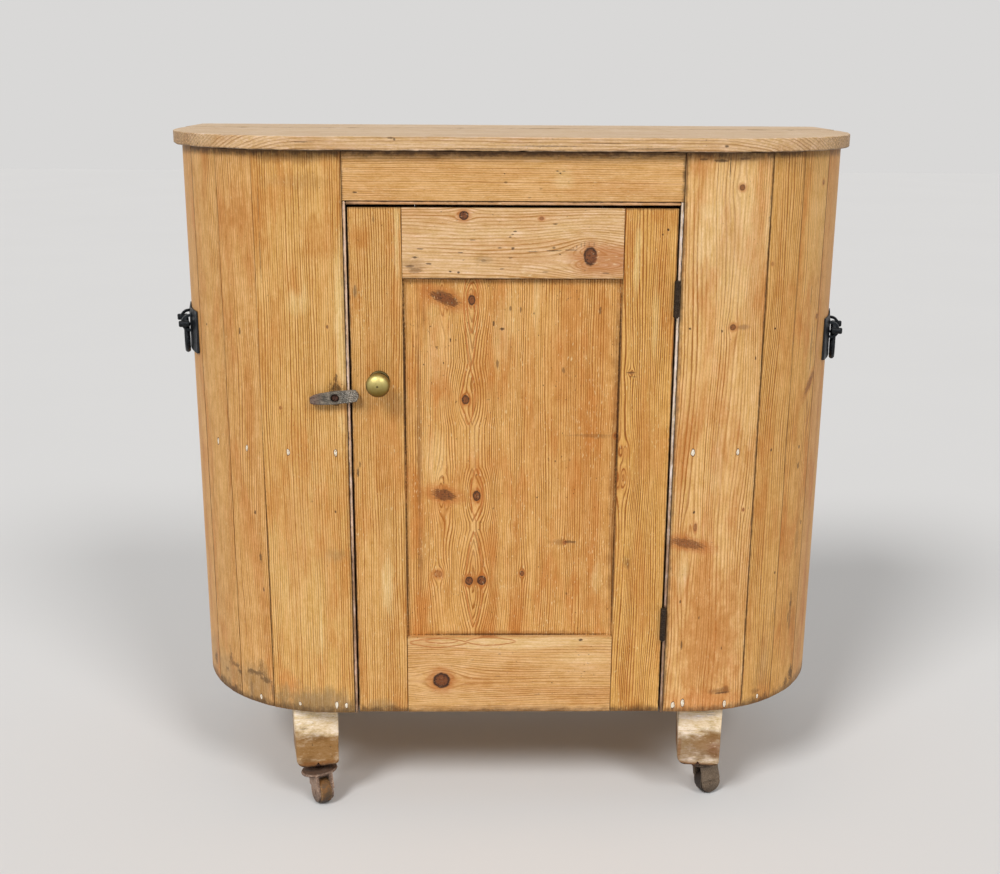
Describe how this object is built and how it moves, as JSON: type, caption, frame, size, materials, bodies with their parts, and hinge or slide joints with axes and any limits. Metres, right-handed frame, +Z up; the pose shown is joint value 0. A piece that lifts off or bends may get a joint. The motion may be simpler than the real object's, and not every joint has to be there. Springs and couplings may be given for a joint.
{
  "type": "bow-ended cupboard",
  "caption": "Low pine cupboard with a flat front between rounded ends, one panelled door with a knob and turn button, iron drop handles, block feet and swivel castors.",
  "frame": {"origin": "on the floor, below the middle of the width and depth", "axes": "+X to the right seen from the front, +Y from the door to the back, +Z up"},
  "size_m": [1.0454, 0.462, 1.0403],
  "materials": {
    "pine": "waxed honey pine, satin",
    "pale_pine": "waxed pale pine, satin",
    "bare_pine": "bare pine, worn",
    "grey_wood": "weathered grey hardwood",
    "brass": "aged brass",
    "black_iron": "black japanned iron",
    "dark_iron": "dark rusty iron",
    "rusty_iron": "rusted iron"
  },
  "bodies": {
    "cabinet": {"top_front_plank": "pine", "top_back_plank": "pine", "header_rail": "pine", "front_board_left": "pine", "front_board_right": "pine", "stave_left_1": "pine", "stave_left_2": "pine", "stave_left_3": "pine", "stave_left_4": "pine", "stave_left_5": "pine", "stave_right_1": "pine", "stave_right_2": "pine", "stave_right_3": "pine", "stave_right_4": "pine", "stave_right_5": "pine", "back_board_1": "pale_pine", "back_board_2": "pale_pine", "back_board_3": "pale_pine", "bottom_board": "pale_pine", "middle_shelf": "pale_pine", "top_rib_left": "pale_pine", "top_rib_right": "pale_pine", "bead_left": "pale_pine", "bead_right": "pale_pine", "bead_top": "pale_pine", "turn_button_screw": "dark_iron", "hinge_lower_frame_leaf": "dark_iron", "hinge_lower_pin": "dark_iron", "hinge_upper_frame_leaf": "dark_iron", "hinge_upper_pin": "dark_iron", "handle_plate_left": "black_iron", "handle_plate_right": "black_iron", "foot_front_left": "bare_pine", "foot_front_right": "bare_pine", "foot_rear_left": "bare_pine", "foot_rear_right": "bare_pine", "castor_plate_front_left": "rusty_iron", "castor_plate_front_right": "rusty_iron", "castor_plate_rear_left": "rusty_iron", "castor_plate_rear_right": "rusty_iron"},
    "door": {"door_stile_left": "pine", "door_stile_right": "pine", "door_rail_top": "pale_pine", "door_rail_bottom": "pale_pine", "door_panel": "pine", "knob": "brass", "knob_rose": "brass", "hinge_lower_door_leaf": "dark_iron", "hinge_upper_door_leaf": "dark_iron"},
    "turn_button": {"turn_button": "grey_wood"},
    "bail_left": {"handle_bail_left": "black_iron"},
    "bail_right": {"handle_bail_right": "black_iron"},
    "castor_fork_front_left": {"castor_fork_front_left": "rusty_iron"},
    "castor_wheel_front_left": {"castor_wheel_front_left": "rusty_iron"},
    "castor_fork_front_right": {"castor_fork_front_right": "rusty_iron"},
    "castor_wheel_front_right": {"castor_wheel_front_right": "rusty_iron"},
    "castor_fork_rear_left": {"castor_fork_rear_left": "rusty_iron"},
    "castor_wheel_rear_left": {"castor_wheel_rear_left": "rusty_iron"},
    "castor_fork_rear_right": {"castor_fork_rear_right": "rusty_iron"},
    "castor_wheel_rear_right": {"castor_wheel_rear_right": "rusty_iron"}
  },
  "joints": [
    {"name": "door_hinge", "type": "hinge", "parent": "cabinet", "child": "door", "pos_m": [0.2285, -0.1955, 0.5685], "axis": [0, 0, 1], "range_deg": [0, 170]},
    {"name": "turn_button_turn", "type": "hinge", "parent": "cabinet", "child": "turn_button", "pos_m": [-0.257, -0.1976, 0.674], "axis": [0, -1, 0], "continuous": true},
    {"name": "bail_left_lift", "type": "hinge", "parent": "cabinet", "child": "bail_left", "pos_m": [-0.50195, -0.02343, 0.754], "axis": [-0.2453, 0.9694, 0], "range_deg": [0, 95]},
    {"name": "bail_right_lift", "type": "hinge", "parent": "cabinet", "child": "bail_right", "pos_m": [0.50195, -0.02343, 0.746], "axis": [-0.2453, -0.9694, 0], "range_deg": [0, 95]},
    {"name": "castor_swivel_front_left", "type": "hinge", "parent": "cabinet", "child": "castor_fork_front_left", "pos_m": [-0.31, -0.141, 0.052], "axis": [0, 0, 1], "continuous": true},
    {"name": "castor_roll_front_left", "type": "hinge", "parent": "castor_fork_front_left", "child": "castor_wheel_front_left", "pos_m": [-0.29933, -0.16024, 0.02], "axis": [0.8746, 0.4848, 0], "continuous": true},
    {"name": "castor_swivel_front_right", "type": "hinge", "parent": "cabinet", "child": "castor_fork_front_right", "pos_m": [0.301, -0.141, 0.052], "axis": [0, 0, 1], "continuous": true},
    {"name": "castor_roll_front_right", "type": "hinge", "parent": "castor_fork_front_right", "child": "castor_wheel_front_right", "pos_m": [0.3211, -0.13205, 0.02], "axis": [-0.4067, 0.9135, 0], "continuous": true},
    {"name": "castor_swivel_rear_left", "type": "hinge", "parent": "cabinet", "child": "castor_fork_rear_left", "pos_m": [-0.31, 0.179, 0.052], "axis": [0, 0, 1], "continuous": true},
    {"name": "castor_roll_rear_left", "type": "hinge", "parent": "castor_fork_rear_left", "child": "castor_wheel_rear_left", "pos_m": [-0.29198, 0.19162, 0.02], "axis": [-0.5736, 0.8192, 0], "continuous": true},
    {"name": "castor_swivel_rear_right", "type": "hinge", "parent": "cabinet", "child": "castor_fork_rear_right", "pos_m": [0.301, 0.179, 0.052], "axis": [0, 0, 1], "continuous": true},
    {"name": "castor_roll_rear_right", "type": "hinge", "parent": "castor_fork_rear_right", "child": "castor_wheel_rear_right", "pos_m": [0.28033, 0.18652, 0.02], "axis": [-0.342, -0.9397, 0], "continuous": true}
  ]
}
